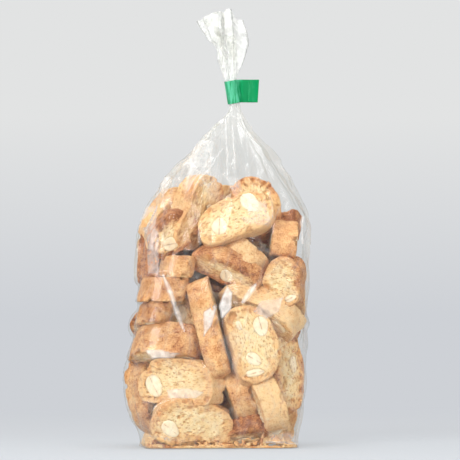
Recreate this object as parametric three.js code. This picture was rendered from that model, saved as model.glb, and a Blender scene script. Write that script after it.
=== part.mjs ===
// A clear film bag of almond biscuits, standing on its flat base. The film is gathered
// into a neck, held by a band of green tape, and fans out above it in a ruffled crown.
// Millimetres, +Z up. X runs along the wide face, the front face looks along -Y, and
// the origin is the middle of the bag's footprint on the table.
import * as THREE from 'three';

// Driving dimensions
const TAPE_WIDTH = 12;
const TAPE_THICKNESS = 0.25;
const TAPE_GAP = 0.3;
const FLAG_LENGTH = 10.8;
const NECK_RADIUS = 2.8;
const NECK_X = 8.4;
const NECK_LEAN = -0.16;
const TAPE_BOTTOM = 184;
const TAPE_TOP = TAPE_BOTTOM + TAPE_WIDTH;
const NECK_BLEND = 6;

// The bag from the table up to the tape: how far it reaches to the left and right of
// the origin and to the front and back, and the radius of its four upright edges.
const BODY = [
  { z: 0, left: 40.5, right: 40.5, depth: 26, corner: 4 },
  { z: 5, left: 41.6, right: 40.8, depth: 27.6, corner: 7 },
  { z: 18, left: 44.8, right: 42.2, depth: 29.2, corner: 10 },
  { z: 34, left: 46.2, right: 44.4, depth: 30.2, corner: 11 },
  { z: 55, left: 44.8, right: 45.2, depth: 30, corner: 11 },
  { z: 80, left: 41.8, right: 46.2, depth: 29.6, corner: 11 },
  { z: 106, left: 41, right: 46.2, depth: 28.6, corner: 11 },
  { z: 120, left: 38.4, right: 48, depth: 26.4, corner: 12 },
  { z: 134, left: 34.2, right: 43.8, depth: 22.6, corner: 13 },
  { z: 146, left: 27.2, right: 37.6, depth: 18, corner: 14 },
  { z: 156, left: 16.8, right: 31.2, depth: 13.4, corner: 12 },
  { z: 165, left: 9, right: 22.2, depth: 9.4, corner: 9.4 },
  { z: 173, left: 0.8, right: 15, depth: 6, corner: 6 },
  { z: 179, left: -4.8, right: 12.6, depth: 4, corner: 4 },
];

// The pleats that gather the shoulders into the neck
const PLEATS = 12;
const PLEAT_START = 104;
const PLEAT_JITTER = 0.3;
const SHOULDER_PLEAT = 0.26;
const NECK_PLEAT = 0.2;

// The biscuits push low bumps into the film, in staggered rows round the bag.
const BUMP_HEIGHT = 2.2;
const BUMP_RADIUS = 19;
const BUMP_ROWS = 5;
const BUMPS_PER_ROW = 9;
const BUMP_ROW_PITCH = 24;
const BUMP_JITTER = 0.3;
const BUMP_FADE = 14;

// The crown: a wavy ribbon of film, wide and thin, with a torn-looking top edge. The
// stations run from 0 at the tape to 1 at the top edge.
const CROWN_TOP = 233.4;
const CROWN_PEAK = 0.46;
const CROWN_THICKNESS = 2.2;
const CROWN_SPREAD = 0.3;
const CROWN_WAVES = 2.4;
const CROWN_WAVE_PHASE = 0.6;
const CROWN_DROOP = 6;
const CROWN_DROOP_POWER = 1.6;
const CROWN_NOTCH = 1.5;
const CROWN_NOTCHES = 5;
const CROWN_EDGE_POWER = 8;
const CROWN = [
  { s: 0, x: 6.4, halfWidth: 2.8, wave: 0 },
  { s: 0.3, x: 5.9, halfWidth: 6.2, wave: 0.9 },
  { s: 0.5, x: 6.0, halfWidth: 9.0, wave: 2.6 },
  { s: 0.7, x: 3.6, halfWidth: 12.6, wave: 4.0 },
  { s: 0.88, x: 0.9, halfWidth: 13.6, wave: 4.8 },
  { s: 1, x: 1.0, halfWidth: 12.2, wave: 5.2 },
];

// How finely the surface is cut
const AROUND = 72;
const BODY_RINGS = 23;
const SHOULDER_RINGS = 19;
const NECK_RINGS = 5;
const CROWN_RINGS = 15;

// A seeded generator, so that every run gives the same bag
function makeRandom(seed) {
  let state = seed;
  return () => {
    state = (Math.imul(state, 1664525) + 1013904223) >>> 0;
    return state / 2 ** 32;
  };
}

// Reads one field of a list of stations, on a smooth curve through them.
function readStations(stations, field, at, key) {
  const last = stations.length - 1;
  let i = 0;
  while (i < last - 1 && at > stations[i + 1][key]) i += 1;
  const value = (n) => stations[THREE.MathUtils.clamp(n, 0, last)][field];
  const place = (n) => stations[THREE.MathUtils.clamp(n, 0, last)][key];
  const slope = (n) => (value(n + 1) - value(n - 1)) / (place(n + 1) - place(n - 1));
  const span = place(i + 1) - place(i);
  const t = THREE.MathUtils.clamp((at - place(i)) / span, 0, 1);
  const t2 = t * t;
  const t3 = t2 * t;
  return (2 * t3 - 3 * t2 + 1) * value(i) + (t3 - 2 * t2 + t) * span * slope(i)
    + (3 * t2 - 2 * t3) * value(i + 1) + (t3 - t2) * span * slope(i + 1);
}

// A point on a rounded rectangle. u runs from 0 at the left, past the front at 0.25,
// the right at 0.5 and the back at 0.75.
function roundedRectangle(u, halfX, halfY, corner) {
  const radius = Math.min(corner, halfX, halfY);
  const sideX = halfX - radius;
  const sideY = halfY - radius;
  const arc = (Math.PI / 2) * radius;
  const quarter = sideY + arc + sideX;
  const step = u * 4;
  const quadrant = Math.floor(step) % 4;
  const mirrored = quadrant % 2 === 1;
  const part = step - Math.floor(step);
  const along = (mirrored ? 1 - part : part) * quarter;
  let x = -halfX;
  let y = -along;
  if (along > sideY + arc) {
    x = -sideX + (along - sideY - arc);
    y = -halfY;
  } else if (along > sideY) {
    const angle = (along - sideY) / radius;
    x = -sideX - radius * Math.cos(angle);
    y = -sideY - radius * Math.sin(angle);
  }
  const flipX = quadrant === 1 || quadrant === 2 ? -1 : 1;
  const flipY = quadrant >= 2 ? -1 : 1;
  return new THREE.Vector2(x * flipX, y * flipY);
}

// Where the pleats' ridges stand round the neck, as shares of a full turn
function makePleatRidges() {
  const random = makeRandom(7);
  return Array.from({ length: PLEATS + 1 }, (_, k) => {
    const shift = k % (PLEATS / 2) === 0 ? 0 : (random() - 0.5) * 2 * PLEAT_JITTER;
    return (k + shift) / PLEATS;
  });
}

const pleatRidges = makePleatRidges();

// 0 on a pleat's ridge and 1 in the valley between two ridges
function pleatValley(u) {
  const k = pleatRidges.findLastIndex((ridge) => ridge <= u);
  const width = pleatRidges[k + 1] - pleatRidges[k];
  return 1 - Math.abs(2 * (u - pleatRidges[k]) / width - 1);
}

// The centres of the bumps: a share of the turn, and a height
function makeBumps() {
  const random = makeRandom(3);
  const bumps = [];
  for (let row = 0; row < BUMP_ROWS; row += 1) {
    for (let k = 0; k < BUMPS_PER_ROW; k += 1) {
      const across = k + (row % 2) / 2 + (random() - 0.5) * 2 * BUMP_JITTER;
      const up = row + 0.5 + (random() - 0.5) * 2 * BUMP_JITTER;
      bumps.push({ u: across / BUMPS_PER_ROW, z: up * BUMP_ROW_PITCH });
    }
  }
  return bumps;
}

const bumps = makeBumps();

function bumpHeight(u, z, girth) {
  const fade = THREE.MathUtils.smoothstep(z, 0, BUMP_FADE)
    * (1 - THREE.MathUtils.smoothstep(z, PLEAT_START, PLEAT_START + 2 * BUMP_FADE));
  let highest = 0;
  for (const bump of bumps) {
    const turn = Math.abs(u - bump.u) % 1;
    const across = Math.min(turn, 1 - turn) * girth;
    const away = Math.hypot(across, z - bump.z) / BUMP_RADIUS;
    if (away < 1) highest = Math.max(highest, (1 - away * away) ** 1.5);
  }
  return BUMP_HEIGHT * highest * fade;
}

function neckX(z) {
  return NECK_X + NECK_LEAN * (z - TAPE_BOTTOM);
}

// The film between the table and the tape
function bodyPoint(u, z) {
  const top = BODY.at(-1).z;
  const read = (field) => readStations(BODY, field, Math.min(z, top), 'z');
  const toNeck = THREE.MathUtils.smoothstep(z, top - NECK_BLEND, TAPE_BOTTOM);
  const left = read('left');
  const right = read('right');
  const halfX = THREE.MathUtils.lerp((left + right) / 2, NECK_RADIUS, toNeck);
  const halfY = THREE.MathUtils.lerp(read('depth'), NECK_RADIUS, toNeck);
  const corner = THREE.MathUtils.lerp(read('corner'), NECK_RADIUS, toNeck);
  const centre = THREE.MathUtils.lerp((right - left) / 2, neckX(z), toNeck);
  const point = roundedRectangle(u, halfX, halfY, corner);

  const gather = THREE.MathUtils.smoothstep(z, PLEAT_START, BODY.at(-3).z);
  const release = THREE.MathUtils.smoothstep(z, BODY.at(-2).z, TAPE_BOTTOM);
  const pleat = SHOULDER_PLEAT * gather + (NECK_PLEAT - SHOULDER_PLEAT) * release;
  point.multiplyScalar(1 - pleat * pleatValley(u));
  const girth = 4 * (halfX + halfY);
  const reach = point.length();
  point.multiplyScalar((reach + bumpHeight(u, z, girth)) / reach);
  return new THREE.Vector3(point.x + centre, point.y, z);
}

// The neck inside the tape: a bunched rope of film
function neckPoint(u, z) {
  const point = roundedRectangle(u, NECK_RADIUS, NECK_RADIUS, NECK_RADIUS);
  point.multiplyScalar(1 - NECK_PLEAT * pleatValley(u));
  return new THREE.Vector3(point.x + neckX(z), point.y, z);
}

// How high the crown's top edge stands, from its left tip at 0 to its right tip at 1
function crownEdge(across) {
  const droop = CROWN_DROOP * Math.abs(2 * (across - CROWN_PEAK)) ** CROWN_DROOP_POWER;
  const notch = CROWN_NOTCH * Math.abs(2 * ((across * CROWN_NOTCHES) % 1) - 1);
  return CROWN_TOP - droop - notch;
}

// The film above the tape, at one station s
function crownPoint(u, s) {
  const read = (field) => readStations(CROWN, field, s, 's');
  const front = u <= 0.5;
  const across = front ? 2 * u : 2 - 2 * u;
  const centred = 2 * across - 1;
  const wave = read('wave') * Math.sin(2 * Math.PI * (CROWN_WAVES * across + CROWN_WAVE_PHASE));
  const edgeFade = Math.sqrt(1 - centred ** CROWN_EDGE_POWER);
  const y = wave + (front ? -0.5 : 0.5) * CROWN_THICKNESS * edgeFade;
  const z = THREE.MathUtils.lerp(TAPE_TOP, crownEdge(across), s);
  const ribbon = new THREE.Vector3(read('x') + centred * read('halfWidth'), y, z);
  const rope = neckPoint(u, TAPE_TOP);
  rope.z = z;
  return rope.lerp(ribbon, THREE.MathUtils.smoothstep(s, 0, CROWN_SPREAD));
}

// Closes a stack of rings into one solid. Each end is closed by strips that join the
// front half of its ring to the back half.
function solidFromRings(rings) {
  const count = rings[0].length;
  const positions = rings.flat().flatMap((p) => [p.x, p.y, p.z]);
  const indices = [];
  for (let j = 0; j < rings.length - 1; j += 1) {
    for (let i = 0; i < count; i += 1) {
      const a = j * count + i;
      const b = j * count + ((i + 1) % count);
      indices.push(a, b, b + count, a, b + count, a + count);
    }
  }
  const last = (rings.length - 1) * count;
  for (let i = 0; i < count / 2; i += 1) {
    const near = i;
    const nearNext = i + 1;
    const far = (count - i) % count;
    const farNext = count - i - 1;
    if (i > 0) {
      indices.push(near, far, nearNext);
      indices.push(last + near, last + nearNext, last + far);
    }
    if (nearNext !== farNext) {
      indices.push(nearNext, far, farNext);
      indices.push(last + nearNext, last + farNext, last + far);
    }
  }
  const geometry = new THREE.BufferGeometry();
  geometry.setAttribute('position', new THREE.Float32BufferAttribute(positions, 3));
  geometry.setIndex(indices);
  geometry.computeVertexNormals();
  return geometry;
}

function makeRing(pointAt) {
  return Array.from({ length: AROUND }, (_, i) => pointAt(i / AROUND));
}

function makeBagGeometry() {
  const rings = [];
  for (let j = 0; j < BODY_RINGS; j += 1) {
    const z = PLEAT_START * (j / BODY_RINGS);
    rings.push(makeRing((u) => bodyPoint(u, z)));
  }
  for (let j = 0; j < SHOULDER_RINGS; j += 1) {
    const z = THREE.MathUtils.lerp(PLEAT_START, TAPE_BOTTOM, j / SHOULDER_RINGS);
    rings.push(makeRing((u) => bodyPoint(u, z)));
  }
  for (let j = 0; j < NECK_RINGS; j += 1) {
    const z = THREE.MathUtils.lerp(TAPE_BOTTOM, TAPE_TOP, j / NECK_RINGS);
    rings.push(makeRing((u) => neckPoint(u, z)));
  }
  for (let j = 0; j <= CROWN_RINGS; j += 1) {
    rings.push(makeRing((u) => crownPoint(u, j / CROWN_RINGS)));
  }
  return solidFromRings(rings);
}

// The tape goes once round the neck, and its two ends are stuck together in a flag
// that points to the right. Its ring leans with the neck and the flag stands upright.
function makeTapeGeometry() {
  const inner = NECK_RADIUS + TAPE_GAP;
  const outer = inner + TAPE_THICKNESS;
  const flagEnd = outer + FLAG_LENGTH;
  const meet = Math.acos(TAPE_THICKNESS / outer);
  const shape = new THREE.Shape();
  shape.moveTo(flagEnd, -TAPE_THICKNESS);
  shape.lineTo(flagEnd, TAPE_THICKNESS);
  shape.absarc(0, 0, outer, Math.PI / 2 - meet, 1.5 * Math.PI + meet, false);
  shape.closePath();
  const hole = new THREE.Path();
  hole.absarc(0, 0, inner, 0, 2 * Math.PI, true);
  shape.holes.push(hole);
  const settings = { depth: TAPE_WIDTH, bevelEnabled: false, curveSegments: 20, steps: 3 };
  const geometry = new THREE.ExtrudeGeometry(shape, settings);
  const position = geometry.attributes.position;
  for (let i = 0; i < position.count; i += 1) {
    const x = position.getX(i);
    const upright = THREE.MathUtils.smoothstep(x, outer, flagEnd);
    position.setX(i, x + NECK_LEAN * position.getZ(i) * (1 - upright));
  }
  geometry.computeVertexNormals();
  return geometry;
}

const filmMaterial = new THREE.MeshStandardMaterial({
  color: 0xe3c193,
  roughness: 0.35,
  metalness: 0,
});
const tapeMaterial = new THREE.MeshStandardMaterial({
  color: 0x0a9a5c,
  roughness: 0.35,
  metalness: 0,
});

const bag = new THREE.Mesh(makeBagGeometry(), filmMaterial);
bag.name = 'bag';

const tape = new THREE.Mesh(makeTapeGeometry(), tapeMaterial);
tape.name = 'tape';
tape.position.set(NECK_X, 0, TAPE_BOTTOM);

// Brings the middle of the footprint's bounding box to the origin.
const part = new THREE.Group();
part.add(bag, tape);
const middle = new THREE.Box3().setFromObject(part, true).getCenter(new THREE.Vector3());
part.position.set(-middle.x, -middle.y, 0);
part.updateMatrixWorld(true);

export default part;
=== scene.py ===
# A clear film bag of almond biscuits, standing on its base, with a taped neck and a
# ruffled crown of film above. Shapes are worked out in millimetres and turned into
# metres where a mesh is made.
import math
from dataclasses import dataclass

import bpy
import numpy as np
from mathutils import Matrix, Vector
from mathutils.bvhtree import BVHTree


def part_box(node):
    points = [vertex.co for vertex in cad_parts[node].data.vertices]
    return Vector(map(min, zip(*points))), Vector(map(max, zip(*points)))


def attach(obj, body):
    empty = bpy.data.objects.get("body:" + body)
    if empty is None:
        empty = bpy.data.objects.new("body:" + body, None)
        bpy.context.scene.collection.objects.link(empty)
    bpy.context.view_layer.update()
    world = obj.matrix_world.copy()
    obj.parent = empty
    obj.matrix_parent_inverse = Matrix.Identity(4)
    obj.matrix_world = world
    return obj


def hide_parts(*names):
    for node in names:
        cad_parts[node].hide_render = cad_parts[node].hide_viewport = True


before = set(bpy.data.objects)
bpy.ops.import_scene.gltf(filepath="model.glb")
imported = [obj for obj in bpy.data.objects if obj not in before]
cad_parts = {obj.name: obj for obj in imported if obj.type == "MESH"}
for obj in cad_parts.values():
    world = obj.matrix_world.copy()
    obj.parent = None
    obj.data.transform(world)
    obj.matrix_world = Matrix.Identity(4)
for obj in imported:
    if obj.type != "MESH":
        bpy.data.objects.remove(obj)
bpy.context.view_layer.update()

MM = 0.001

# The camera, level and a little to the left of the bag's front
VIEW_TURN = -4.7
VIEW_DISTANCE = 2200
VIEW_AIM = (6.0, 0, 115.4)
VIEW_WIDTH = 245.2

# The tape and the neck that it holds, which repeat the frame's tape
TAPE_LOW, TAPE_HIGH = (np.array(corner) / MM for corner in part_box("tape"))
TAPE_WIDTH = TAPE_HIGH[2] - TAPE_LOW[2]
NECK_LEAN = -0.16
NECK_RADIUS = 2.8
FLAG_REACH = 14.15
NECK_X = TAPE_HIGH[0] - FLAG_REACH
TAPE_RADIUS = NECK_RADIUS + 0.45

# Where the bag starts to draw in, and where its neck starts
SHOULDER_Z = 104
NECK_Z = TAPE_LOW[2]


# Random fields and small helpers

NOISE_CELLS = 24
# Farther from a nut, a crease or a mark than anything looks at
FAR = 9.0


def value_noise(points, size, seed):
    """Smooth random values from -1 to 1, with features about size across."""
    cells = NOISE_CELLS
    lattice = np.random.default_rng(seed).uniform(-1, 1, (cells, cells, cells))
    scaled = points / size
    cell = np.floor(scaled).astype(int)
    part = scaled - cell
    part = part * part * (3 - 2 * part)
    total = np.zeros(points.shape[:-1])
    for corner in np.ndindex(2, 2, 2):
        at = (cell + corner) % cells
        weight = np.prod(np.where(corner, part, 1 - part), axis=-1)
        total += weight * lattice[at[..., 0], at[..., 1], at[..., 2]]
    return total


def smooth_step(value, low, high):
    part = np.clip((value - low) / (high - low), 0, 1)
    return part * part * (3 - 2 * part)


def smooth_max(a, b, blend):
    return (a + b + np.sqrt((a - b) ** 2 + blend ** 2)) / 2


def thin_line(distance, width):
    """From 1 on a line down to 0 away from it."""
    return np.exp(-(distance / width) ** 2)


def norm(vectors, **keep):
    return np.linalg.norm(vectors, axis=-1, **keep)


def grid_points(*axes):
    return np.stack(np.meshgrid(*axes, indexing="ij"), axis=-1)


def cosine_sine(degrees):
    return math.cos(math.radians(degrees)), math.sin(math.radians(degrees))


def turn_matrix(axis, degrees):
    """The rotation about one axis, 0 to 2, by an angle."""
    cosine, sine = cosine_sine(degrees)
    one, two = (axis + 1) % 3, (axis + 2) % 3
    matrix = np.eye(3)
    matrix[one, one] = matrix[two, two] = cosine
    matrix[one, two], matrix[two, one] = -sine, sine
    return matrix


# The slices: where each lies and how it is turned

@dataclass
class Slice:
    """A biscuit. Its long axis, its height towards the arched crust and its thickness
    are its own u, v and w. Unturned, u points right, v up and w to the front. It is
    rolled about u, then turned about the upright axis by its yaw, then leant in the
    front view. It is browner the more it is baked; on the slices deep in the gaps a high bake also
    darkens them as painted shade. Its cut slants."""
    place: tuple
    size: tuple
    lean: float
    roll: float
    bake: float
    yaw: float = 0
    slant: float = 0.25
    almonds: tuple = ()
    layer: str = "front"
    seed: int = 0

    def rotation(self):
        return (turn_matrix(1, -self.lean) @ turn_matrix(2, self.yaw)
                @ turn_matrix(0, self.roll + 90))


# The slices that the front shows: place, size, lean, roll and bake. An almond is its place
# on the cut face, its length and width, and its lean.
FRONT_SLICES = [
    # The top row
    Slice((-15.5, -9, 124), (43, 25, 13), -110, -40, 0.35),
    Slice((-26.5, -19.5, 114), (31, 21, 12), 42, 14, 0.8, yaw=10,
          almonds=((-6, -3, 10, 8, -35),)),
    Slice((-29, -4, 114.5), (44, 25, 13), 72, 28, 0.3),
    Slice((8, -19, 120), (43, 23, 13), 20, -15, 0.2, slant=0.1,
          almonds=((10.5, 3.5, 13, 9, -68), (-9.5, -1.5, 10, 9, 60))),
    Slice((21, -7, 125.5), (31, 24, 13), -62, -8, 0.6, yaw=-8),
    Slice((4, 2, 122), (36, 25, 12), 80, 15, 0.3, yaw=20),
    # The upper middle
    Slice((-37, -1, 100), (30, 22, 12), 84, 70, 0.8),
    Slice((34.5, -4, 110.5), (29, 21, 13.6), -2, 0, 0.45, yaw=85),
    Slice((35.5, 1, 117), (15, 20, 13), 4, 60, 0.85),
    Slice((32.5, -15, 87.5), (22, 26, 13), -8, 8, 0.6,
          almonds=((4, -8, 7, 4, 30),)),
    Slice((39.5, -4, 85), (30, 24, 13), 90, 84, 0.25),
    Slice((12, -12, 99.5), (27, 22, 12.5), -42, 82, 0.1),
    Slice((4.5, -15, 96.5), (42, 17, 10.5), -22, 44, 0.75),
    Slice((-24, -16, 95), (18.5, 24, 11.5), -1, 88, 0.5),
    Slice((-31.5, -15, 84), (25, 24, 13), -3, 84, 0.55, yaw=8),
    # The lower middle
    Slice((-36, -12, 71.5), (17, 24, 12), 0, 80, 0.55, yaw=10),
    Slice((-23, -11, 72), (36, 22, 12), -66, 10, 0.25, yaw=6),
    Slice((-7.5, -16, 62), (55, 25, 12.5), -72, -86, 0.5, slant=0.15),
    Slice((-28.5, -15, 55.5), (39, 26, 17), -3, 76, 0.55, yaw=-4),
    Slice((-22, -21, 36.5), (41, 26, 13), -7, 4, 0.2, yaw=-24,
          almonds=((-13, -3.5, 13, 9, -62),)),
    Slice((-38, -7, 30), (42, 24, 13), 96, 42, 0.55),
    Slice((17, -22, 55), (42, 26, 13), -76, -8, 0.3, slant=0.1,
          almonds=((-8, 6, 11.5, 8.5, -5), (-12, -5, 6, 3.5, 0), (7.5, -2.5, 10, 7, 40),
                   (14.5, -4, 11, 4.5, 82))),
    Slice((22, -17, 74.5), (46, 22, 13), -37, 58, 0.1),
    Slice((34.5, -13, 38.5), (45, 19, 12), -86, -22, 0.6,
          almonds=((-4, 3.5, 10, 4.5, 0),)),
    # The bottom
    Slice((-17, -21, 14), (45.5, 23.5, 13), -2, 7, 0.35, yaw=12,
          slant=0.1, almonds=((-12.5, -4, 11.5, 8, -38),)),
    Slice((10, -12, 31), (33, 24, 12), -70, 84, 0.35),
    Slice((23, -15, 24.5), (34, 25, 13), -64, 80, 0.05),
    Slice((-26, -18, 4.6), (34, 22, 6.5), -2, 86, 0.15),
    Slice((12, -11, 9.2), (25, 17, 10), 12, 50, 0.8),
]

# Behind them, what shows through the gaps. Most are baked very dark, so that their crust stands in
# for the shade in the gaps: painted shade.
MIDDLE_SLICES = [
    Slice((33, -3, 13), (30, 24, 13), 70, 20, 0.3, yaw=30),
    Slice((17, 4, 108), (38, 25, 13), 20, 60, 0.8, yaw=10),
    Slice((0, 3, 80), (38, 24, 12), -50, 30, 0.8, yaw=10),
    Slice((-12, 3, 97), (40, 25, 13), 12, 40, 0.9),
    Slice((24, 4, 100), (38, 25, 13), -70, 20, 0.95),
    Slice((-24, 4, 66), (40, 25, 13), -20, 60, 0.8),
    Slice((20, 4, 50), (42, 25, 13), 60, 30, 0.8),
    Slice((-4, 4, 36), (40, 25, 13), -30, 50, 0.8),
]

# The slices that the front doesn't show, in rows against the back of the bag
BACK_COLUMNS = (-20, 20)
BACK_ROWS = (14, 39, 64, 89, 113)
BACK_DEPTH = 17
BACK_JITTER = 3.5


def make_back_slices():
    random = np.random.default_rng(41)
    slices = []
    for z in BACK_ROWS:
        for x in BACK_COLUMNS:
            shift = random.uniform(-BACK_JITTER, BACK_JITTER, 3)
            roll = random.choice((180, 205, 120)) + random.uniform(-12, 12)
            slices.append(Slice(
                place=(x + shift[0], BACK_DEPTH + shift[1] * 0.4, z + shift[2]),
                size=(random.uniform(38, 46), random.uniform(22, 26), random.uniform(11.5, 14)),
                lean=random.uniform(-35, 35),
                roll=roll,
                yaw=random.uniform(-10, 10),
                bake=random.uniform(0.2, 0.8)))
    return slices


FIRST_SEED = 100
LAYERS = {"front": FRONT_SLICES, "middle": MIDDLE_SLICES, "back": make_back_slices()}
SLICES = []
for layer, slices in LAYERS.items():
    for item in slices:
        item.layer = layer
        item.seed = FIRST_SEED + len(SLICES)
        SLICES.append(item)


# The form of one slice

LOAF_POWER = 2.35
WIDEST_AT = 0.36
FLAT_CORNER = 3.2


def loaf_distance(u, v, length, height):
    """How far outside the loaf's outline a point of the cut face lies: an arched top
    and round ends over a flat bottom."""
    up = v + height * (0.5 - WIDEST_AT)
    reach = np.where(up > 0, height * (1 - WIDEST_AT), height * WIDEST_AT * 1.5)
    share = ((np.abs(u) / (length / 2)) ** LOAF_POWER
             + (np.abs(up) / reach) ** LOAF_POWER) ** (1 / LOAF_POWER)
    share = np.maximum(share, 1e-4)
    arch = np.hypot(u, up) * (1 - 1 / share)
    return smooth_max(arch, -height / 2 - v, FLAT_CORNER)


def plain_distance(points, size, slant=0.0):
    """How far outside a plain slice a point in its own u, v and w lies."""
    u, v, w = points[..., 0], points[..., 1], points[..., 2]
    length, height, thick = (size[..., k] for k in range(3))
    return np.maximum(loaf_distance(u + slant * w, v, length, height), np.abs(w) - thick / 2)


# Packing: the slices are eased apart and kept inside the film

def bag_tree():
    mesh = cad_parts["bag"].data
    corners = [vertex.co for vertex in mesh.vertices]
    return BVHTree.FromPolygons(corners, [list(face.vertices) for face in mesh.polygons])


def bag_axis(z):
    """Where the middle of the bag lies at a height."""
    z = np.asarray(z, float)
    return NECK_X * smooth_step(z, SHOULDER_Z, NECK_Z) + NECK_LEAN * np.maximum(z - NECK_Z, 0)


BAG = bag_tree()
REACH_TURNS = 360
REACH_HEIGHTS = np.concatenate([np.linspace(0.4, 10, 8), np.linspace(12, NECK_Z - 1, 90)])


def measure_reach():
    """The bag's reach from its axis, for each height and each degree round it."""
    reach = np.zeros((len(REACH_HEIGHTS), REACH_TURNS))
    for row, z in enumerate(REACH_HEIGHTS):
        start = Vector((float(bag_axis(z)), 0, z)) * MM
        for column in range(REACH_TURNS):
            angle = 2 * math.pi * column / REACH_TURNS
            heading = Vector((math.cos(angle), math.sin(angle), 0))
            hit = BAG.ray_cast(start, heading)
            reach[row, column] = hit[3] / MM
    return reach


REACH = measure_reach()


def bag_reach(angle, z):
    """The bag's reach at any angle and height, between the measured ones."""
    row = np.interp(z, REACH_HEIGHTS, np.arange(len(REACH_HEIGHTS)))
    column = (angle / (2 * np.pi) * REACH_TURNS) % REACH_TURNS
    low_row = np.minimum(row.astype(int), len(REACH_HEIGHTS) - 2)
    low_column = column.astype(int) % REACH_TURNS
    part_row, part_column = row - low_row, column - column.astype(int)
    total = 0
    for a, b in np.ndindex(2, 2):
        weight = np.abs(1 - a - part_row) * np.abs(1 - b - part_column)
        total = total + weight * REACH[low_row + a, (low_column + b) % REACH_TURNS]
    return total


SAMPLE_TURNS = 14
SAMPLE_HALVINGS = 14
SAMPLE_RINGS = ((1.0, (-0.48, 0, 0.48)), (0.62, (-0.5, 0.5)), (0.2, (-0.5, 0.5)))


def slice_samples(size):
    """Points spread over a plain slice's skin, in its own frame."""
    length, height, thick = size
    points = []
    for inset, levels in SAMPLE_RINGS:
        for level in levels:
            for angle in np.arange(SAMPLE_TURNS) * 2 * np.pi / SAMPLE_TURNS:
                heading = np.array([math.cos(angle), math.sin(angle)])
                low, high = 0.0, length
                for _ in range(SAMPLE_HALVINGS):
                    middle = (low + high) / 2
                    outside = loaf_distance(*(middle * heading), length, height) > 0
                    low, high = (low, middle) if outside else (middle, high)
                points.append((*(low * inset * heading), level * thick))
    return np.array(points)


EASE_ROUNDS = 90
EASE_REACH = {"front": (1, 5, 1), "middle": (8, 8, 8), "back": (20, 12, 20)}
EASE_SWING = {"front": 4, "middle": 25, "back": 50}
EASE_PULL = {"front": -0.1, "middle": 0.0, "back": 0.1}
GRADIENT_STEP = 0.3
FILM_CLEARANCE = 0.9
FILM_PUSH_LIMIT = 4
FILM_WEIGHT = 4
FEWEST_HITS = 4
MOVE_SHARE = 0.9
SWING_SHARE = 1.4


def plain_gradient(points, sizes):
    """The way out of a plain slice, as a unit vector for each point."""
    parts = [plain_distance(points + shift, sizes) - plain_distance(points - shift, sizes)
             for shift in np.eye(3) * GRADIENT_STEP]
    parts = np.stack(parts, axis=-1)
    return parts / np.maximum(norm(parts, keepdims=True), 1e-6)


def small_turn(vector):
    """The rotation matrix of a small turn given as an axis times an angle."""
    angle = np.linalg.norm(vector)
    if angle < 1e-9:
        return np.eye(3)
    x, y, z = vector / angle
    cross = np.array([[0, -z, y], [z, 0, -x], [-y, x, 0]])
    return np.eye(3) + math.sin(angle) * cross + (1 - math.cos(angle)) * cross @ cross


def ease_apart(slices):
    """Moves the slices until they hardly cross each other or the film, each within its
    layer's reach. Returns their places and turns."""
    count = len(slices)
    starts = np.array([item.place for item in slices], float)
    first_turns = np.array([item.rotation() for item in slices])
    sizes = np.array([item.size for item in slices], float)
    samples = np.array([slice_samples(item.size) for item in slices])
    reach = np.array([EASE_REACH[item.layer] for item in slices], float)
    swing_limit = np.radians([EASE_SWING[item.layer] for item in slices])
    pull = np.array([EASE_PULL[item.layer] for item in slices])
    radius = norm(sizes) / 2
    drift = np.zeros((count, 3))
    swing = np.zeros((count, 3))
    places, turns = starts, first_turns
    for step in range(EASE_ROUNDS):
        world = np.einsum("nij,nkj->nki", turns, samples) + places[:, None]
        apart = norm(places[:, None] - places[None])
        near = apart < radius[:, None] + radius[None]
        np.fill_diagonal(near, False)
        moving, still = np.nonzero(near)
        local = np.einsum("pki,pij->pkj", world[moving] - places[still][:, None], turns[still])
        target = sizes[still][:, None]
        depth = -plain_distance(local, target)
        inside = depth > 0
        push = plain_gradient(local, target)
        push = np.einsum("pij,pkj->pki", turns[still], push) * (depth * inside)[..., None]
        move = np.zeros((count, 3))
        twist = np.zeros((count, 3))
        hits = np.zeros(count)
        for who, sign in ((moving, 1), (still, -1)):
            arm = world[moving] - places[who][:, None]
            np.add.at(move, who, sign * push.sum(axis=1))
            np.add.at(twist, who, sign * np.cross(arm, push).sum(axis=1))
            np.add.at(hits, who, inside.sum(axis=1))
        wall, touching = film_push(world)
        move += wall.sum(axis=1) * FILM_WEIGHT
        twist += np.cross(world - places[:, None], wall).sum(axis=1) * FILM_WEIGHT
        hits = np.maximum(hits + touching.sum(axis=1), FEWEST_HITS)[:, None]
        drift += move / hits * MOVE_SHARE
        drift[:, 1] += pull * (1 - smooth_step(step / EASE_ROUNDS, 0.5, 0.8))
        drift = np.clip(drift, -reach, reach)
        swing += twist / hits / radius[:, None] ** 2 * SWING_SHARE
        swing *= np.minimum(1, swing_limit / np.maximum(norm(swing), 1e-9))[:, None]
        places = starts + drift
        turns = np.array([small_turn(part) @ turn for part, turn in zip(swing, first_turns)])
    return places, turns


def film_push(world):
    """How far points outside the bag have to go to be inside it, and which they are."""
    offset = world[..., 0] - bag_axis(world[..., 2])
    angle = np.arctan2(world[..., 1], offset)
    room = bag_reach(angle, world[..., 2]) - FILM_CLEARANCE
    over = np.clip(np.hypot(offset, world[..., 1]) - room, 0, FILM_PUSH_LIMIT)
    below = np.clip(FILM_CLEARANCE - world[..., 2], 0, FILM_PUSH_LIMIT)
    steep = smooth_step(world[..., 2], SHOULDER_Z, NECK_Z - 20)
    wall = np.stack([-np.cos(angle) * over, -np.sin(angle) * over,
                     below - 0.7 * over * steep], axis=-1)
    return wall, (over > 0) | (below > 0)


# Surface nets: a closed mesh of the zero surface of a field on a grid

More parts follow.
